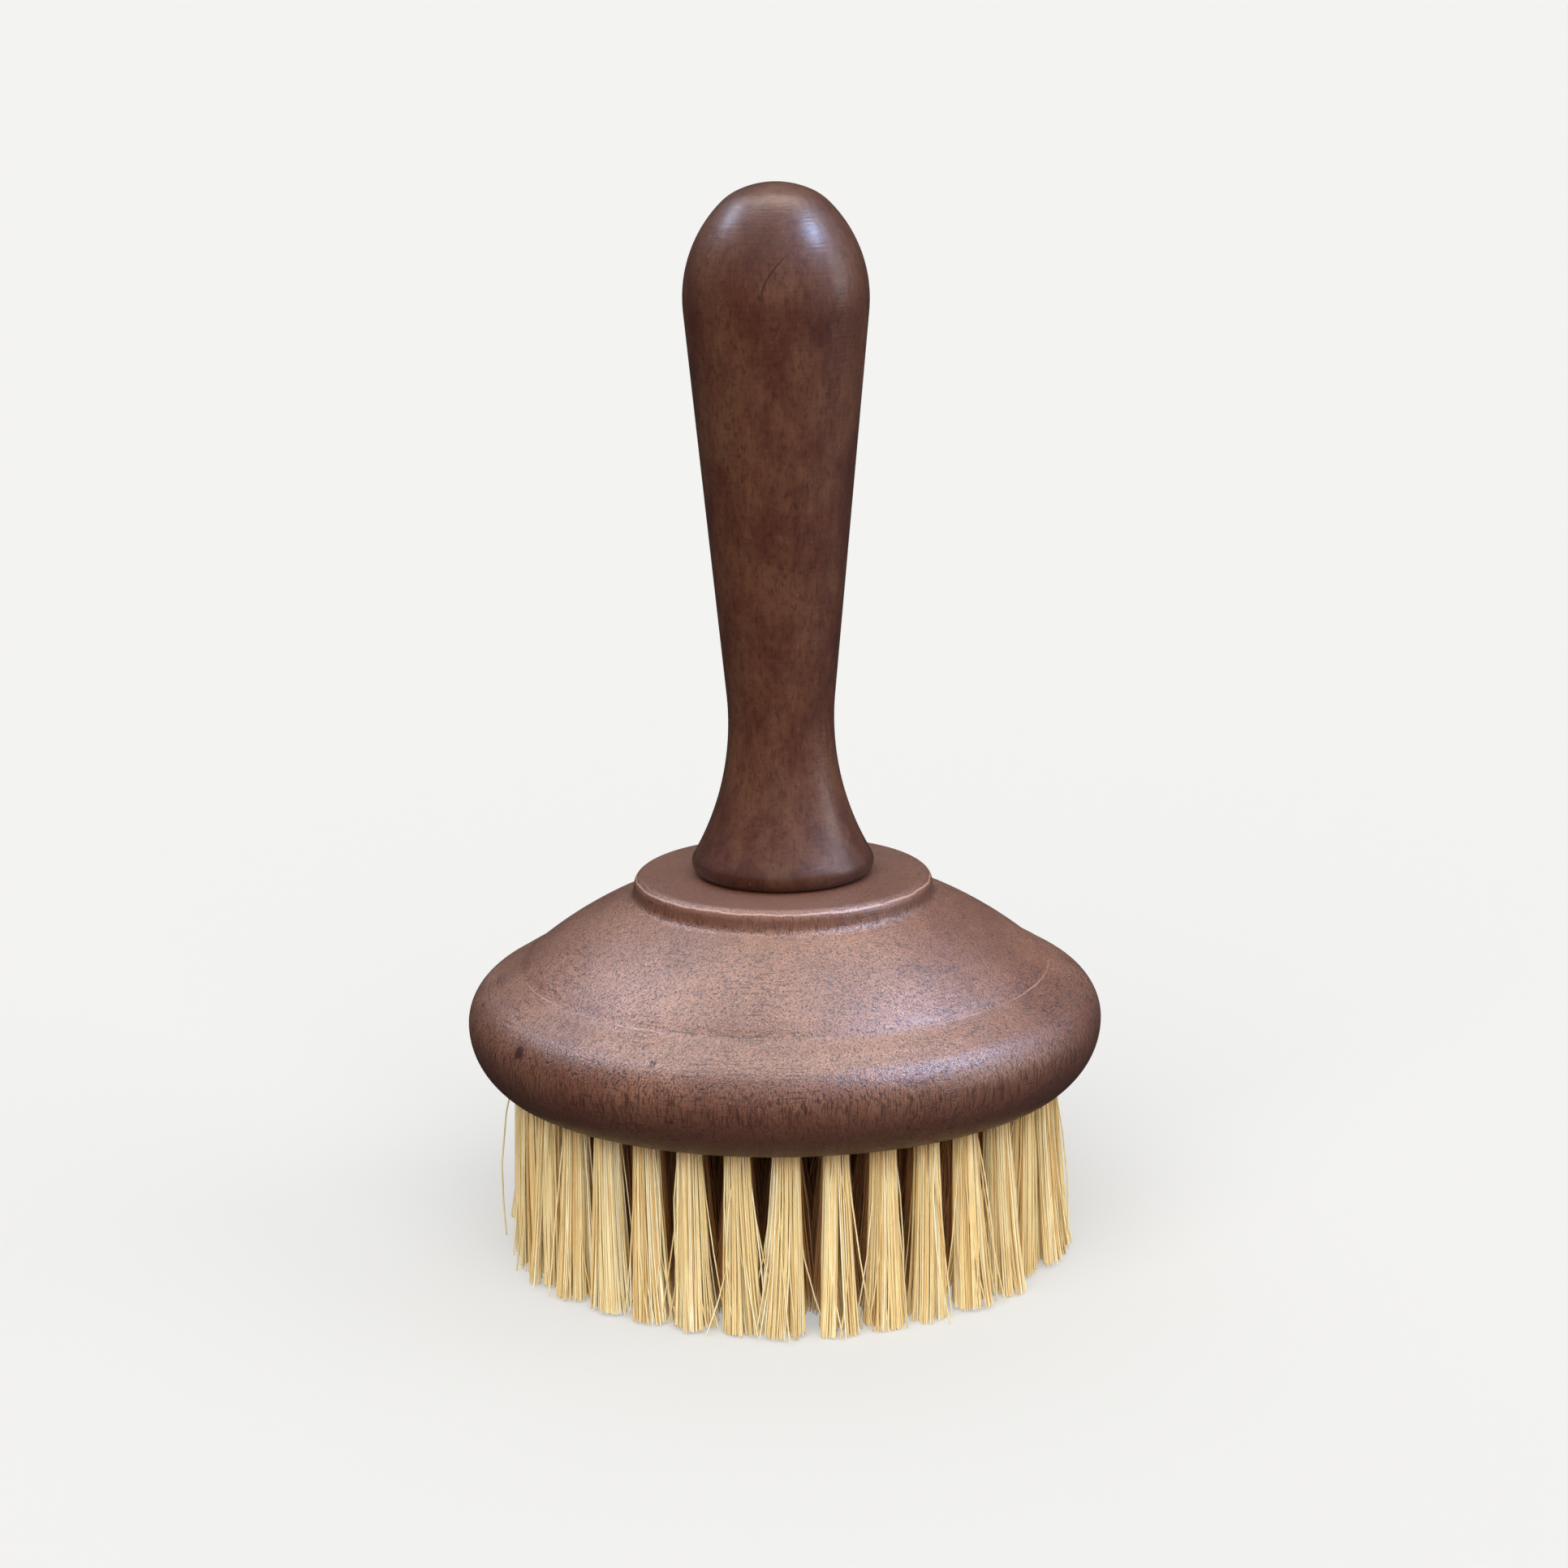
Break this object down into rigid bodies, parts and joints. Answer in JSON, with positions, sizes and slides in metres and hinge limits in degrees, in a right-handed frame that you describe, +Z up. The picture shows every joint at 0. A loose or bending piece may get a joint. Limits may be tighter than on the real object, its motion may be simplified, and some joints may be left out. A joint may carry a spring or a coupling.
{
  "type": "beard brush",
  "caption": "Round beard brush with a turned wooden dome head, drilled and anchored plant-fibre tufts in rings, and a turned club handle on a glued dowel.",
  "frame": {"origin": "centre of the circle of trimmed bristle ends, on the plane that the brush stands on", "axes": "+Z up along the turning axis, from the bristle ends through the head to the tip of the handle; +X and +Y across the head"},
  "size_m": [0.0784, 0.0784, 0.1317],
  "materials": {
    "handle_wood": "dark stained beech, satin lacquer",
    "head_wood": "stained beech, thin matt wax",
    "dowel_wood": "raw beech",
    "bristle_fibre": "stiff straw-coloured plant fibre, trimmed",
    "anchor_wire": "flat drawn wire"
  },
  "bodies": {
    "root": {"handle": "handle_wood", "handle_dowel": "dowel_wood", "head_block": "head_wood", "tuft_anchors": "anchor_wire", "tuft_outer_01": "bristle_fibre", "tuft_outer_02": "bristle_fibre", "tuft_outer_03": "bristle_fibre", "tuft_outer_04": "bristle_fibre", "tuft_outer_05": "bristle_fibre", "tuft_outer_06": "bristle_fibre", "tuft_outer_07": "bristle_fibre", "tuft_outer_08": "bristle_fibre", "tuft_outer_09": "bristle_fibre", "tuft_outer_10": "bristle_fibre", "tuft_outer_11": "bristle_fibre", "tuft_outer_12": "bristle_fibre", "tuft_outer_13": "bristle_fibre", "tuft_outer_14": "bristle_fibre", "tuft_outer_15": "bristle_fibre", "tuft_outer_16": "bristle_fibre", "tuft_outer_17": "bristle_fibre", "tuft_outer_18": "bristle_fibre", "tuft_outer_19": "bristle_fibre", "tuft_outer_20": "bristle_fibre", "tuft_outer_21": "bristle_fibre", "tuft_outer_22": "bristle_fibre", "tuft_outer_23": "bristle_fibre", "tuft_outer_24": "bristle_fibre", "tuft_outer_25": "bristle_fibre", "tuft_outer_26": "bristle_fibre", "tuft_outer_27": "bristle_fibre", "tuft_outer_28": "bristle_fibre", "tuft_outer_29": "bristle_fibre", "tuft_outer_30": "bristle_fibre", "tuft_outer_31": "bristle_fibre", "tuft_outer_32": "bristle_fibre", "tuft_outer_33": "bristle_fibre", "tuft_outer_34": "bristle_fibre", "tuft_outer_35": "bristle_fibre", "tuft_row_2": "bristle_fibre", "tuft_row_3": "bristle_fibre", "tuft_row_4": "bristle_fibre", "tuft_row_5": "bristle_fibre", "tuft_row_6": "bristle_fibre"}
  },
  "joints": []
}
